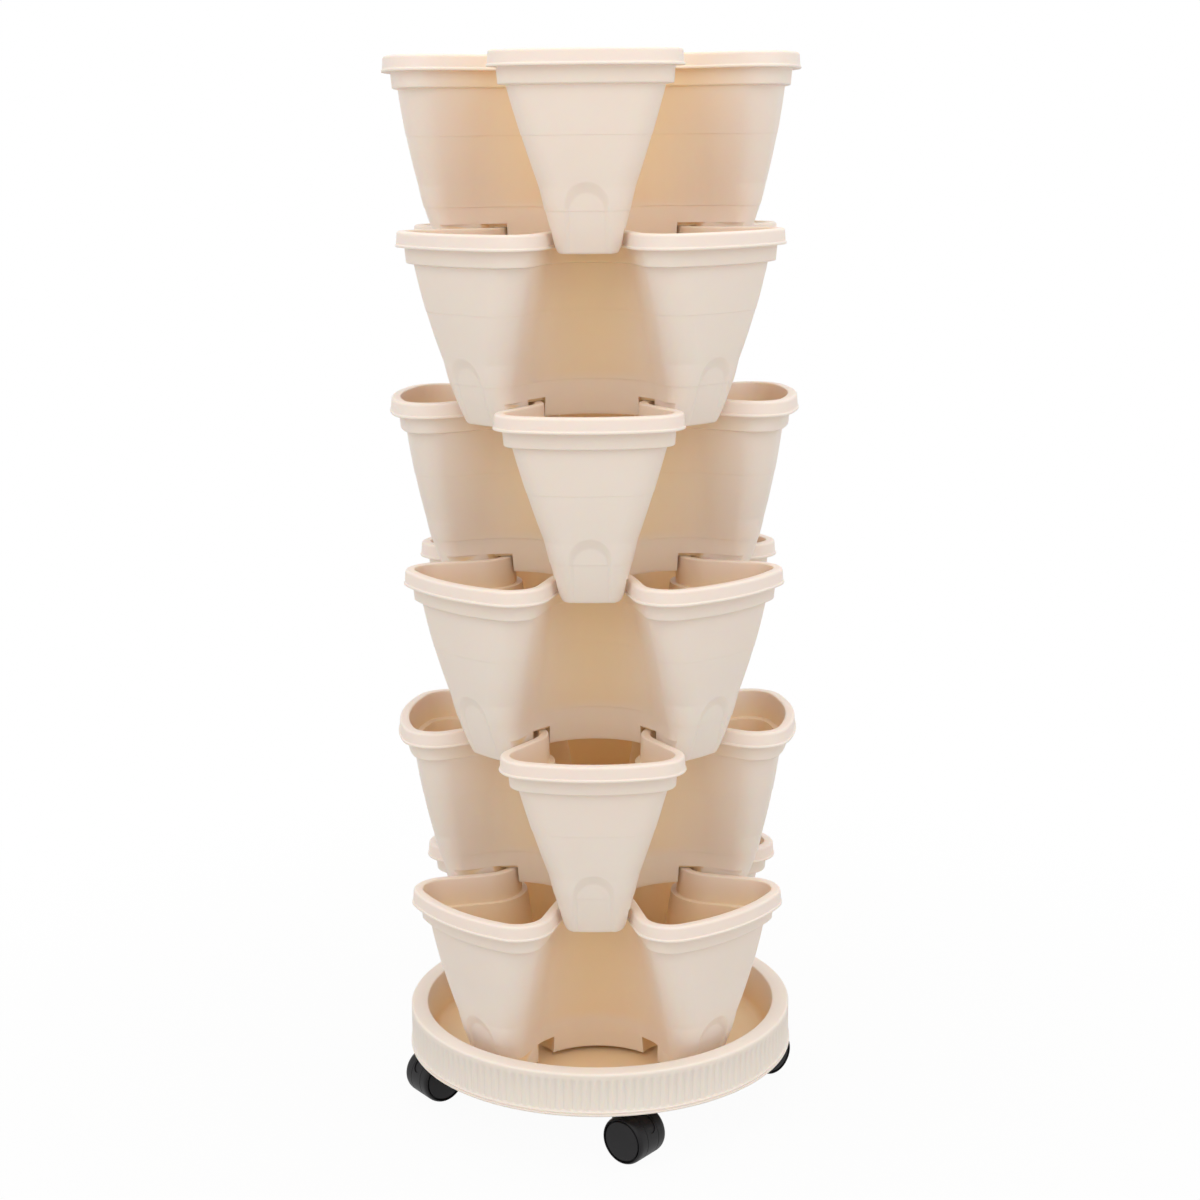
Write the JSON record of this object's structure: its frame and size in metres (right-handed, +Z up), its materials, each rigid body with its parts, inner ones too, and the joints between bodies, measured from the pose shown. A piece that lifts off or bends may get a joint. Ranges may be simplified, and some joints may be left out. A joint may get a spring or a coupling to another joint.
{
  "type": "vertical planter tower",
  "caption": "Tower of stacked lobed planter pots with open planting pockets, on a round drip tray that rolls on twin-wheel swivel casters.",
  "frame": {"origin": "on the floor under the axis of the tower", "axes": "+Z up along the stack, -Y towards the front lobe of the top pot, +X to its right"},
  "size_m": [0.35, 0.35, 0.9153],
  "materials": {
    "cream_plastic": "satin moulded, light cream",
    "black_plastic": "satin black",
    "plated_steel": "zinc plated"
  },
  "bodies": {
    "base": {"tray": "cream_plastic", "caster_1_stem": "plated_steel", "caster_2_stem": "plated_steel", "caster_3_stem": "plated_steel", "caster_4_stem": "plated_steel"},
    "pot_6": {"tier_6": "cream_plastic"},
    "pot_5": {"tier_5": "cream_plastic"},
    "pot_4": {"tier_4": "cream_plastic"},
    "pot_3": {"tier_3": "cream_plastic"},
    "pot_2": {"tier_2": "cream_plastic"},
    "pot_1": {"tier_1": "cream_plastic"},
    "caster_1_fork": {"caster_1_hood": "black_plastic", "caster_1_axle": "plated_steel"},
    "caster_1_left": {"caster_1_wheel_left": "black_plastic"},
    "caster_1_right": {"caster_1_wheel_right": "black_plastic"},
    "caster_2_fork": {"caster_2_hood": "black_plastic", "caster_2_axle": "plated_steel"},
    "caster_2_left": {"caster_2_wheel_left": "black_plastic"},
    "caster_2_right": {"caster_2_wheel_right": "black_plastic"},
    "caster_3_fork": {"caster_3_hood": "black_plastic", "caster_3_axle": "plated_steel"},
    "caster_3_left": {"caster_3_wheel_left": "black_plastic"},
    "caster_3_right": {"caster_3_wheel_right": "black_plastic"},
    "caster_4_fork": {"caster_4_hood": "black_plastic", "caster_4_axle": "plated_steel"},
    "caster_4_left": {"caster_4_wheel_left": "black_plastic"},
    "caster_4_right": {"caster_4_wheel_right": "black_plastic"}
  },
  "joints": [
    {"name": "pot_6_lift_off", "type": "slide", "parent": "base", "child": "pot_6", "axis": [0, 0, 1], "range_m": [0, 0.08]},
    {"name": "pot_5_lift_off", "type": "slide", "parent": "pot_6", "child": "pot_5", "axis": [0, 0, 1], "range_m": [0, 0.08]},
    {"name": "pot_4_lift_off", "type": "slide", "parent": "pot_5", "child": "pot_4", "axis": [0, 0, 1], "range_m": [0, 0.08]},
    {"name": "pot_3_lift_off", "type": "slide", "parent": "pot_4", "child": "pot_3", "axis": [0, 0, 1], "range_m": [0, 0.08]},
    {"name": "pot_2_lift_off", "type": "slide", "parent": "pot_3", "child": "pot_2", "axis": [0, 0, 1], "range_m": [0, 0.08]},
    {"name": "pot_1_lift_off", "type": "slide", "parent": "pot_2", "child": "pot_1", "axis": [0, 0, 1], "range_m": [0, 0.08]},
    {"name": "caster_1_swivel", "type": "hinge", "parent": "base", "child": "caster_1_fork", "pos_m": [0.0204, -0.13648, 0.045], "axis": [0, 0, 1], "continuous": true},
    {"name": "caster_1_left_roll", "type": "hinge", "parent": "caster_1_fork", "child": "caster_1_left", "pos_m": [0.03238, -0.14551, 0.0206], "axis": [0.6018, 0.7986, 0], "continuous": true},
    {"name": "caster_1_right_roll", "type": "hinge", "parent": "caster_1_fork", "child": "caster_1_right", "pos_m": [0.03238, -0.14551, 0.0206], "axis": [0.6018, 0.7986, 0], "continuous": true},
    {"name": "caster_2_swivel", "type": "hinge", "parent": "base", "child": "caster_2_fork", "pos_m": [0.13648, 0.0204, 0.045], "axis": [0, 0, 1], "continuous": true},
    {"name": "caster_2_left_roll", "type": "hinge", "parent": "caster_2_fork", "child": "caster_2_left", "pos_m": [0.14797, 0.03004, 0.0206], "axis": [-0.6428, 0.766, 0], "continuous": true},
    {"name": "caster_2_right_roll", "type": "hinge", "parent": "caster_2_fork", "child": "caster_2_right", "pos_m": [0.14797, 0.03004, 0.0206], "axis": [-0.6428, 0.766, 0], "continuous": true},
    {"name": "caster_3_swivel", "type": "hinge", "parent": "base", "child": "caster_3_fork", "pos_m": [-0.0204, 0.13648, 0.045], "axis": [0, 0, 1], "continuous": true},
    {"name": "caster_3_left_roll", "type": "hinge", "parent": "caster_3_fork", "child": "caster_3_left", "pos_m": [-0.02553, 0.15058, 0.0206], "axis": [-0.9397, -0.342, 0], "continuous": true},
    {"name": "caster_3_right_roll", "type": "hinge", "parent": "caster_3_fork", "child": "caster_3_right", "pos_m": [-0.02553, 0.15058, 0.0206], "axis": [-0.9397, -0.342, 0], "continuous": true},
    {"name": "caster_4_swivel", "type": "hinge", "parent": "base", "child": "caster_4_fork", "pos_m": [-0.13648, -0.0204, 0.045], "axis": [0, 0, 1], "continuous": true},
    {"name": "caster_4_left_roll", "type": "hinge", "parent": "caster_4_fork", "child": "caster_4_left", "pos_m": [-0.1483, -0.02963, 0.0206], "axis": [0.6157, -0.788, 0], "continuous": true},
    {"name": "caster_4_right_roll", "type": "hinge", "parent": "caster_4_fork", "child": "caster_4_right", "pos_m": [-0.1483, -0.02963, 0.0206], "axis": [0.6157, -0.788, 0], "continuous": true}
  ]
}
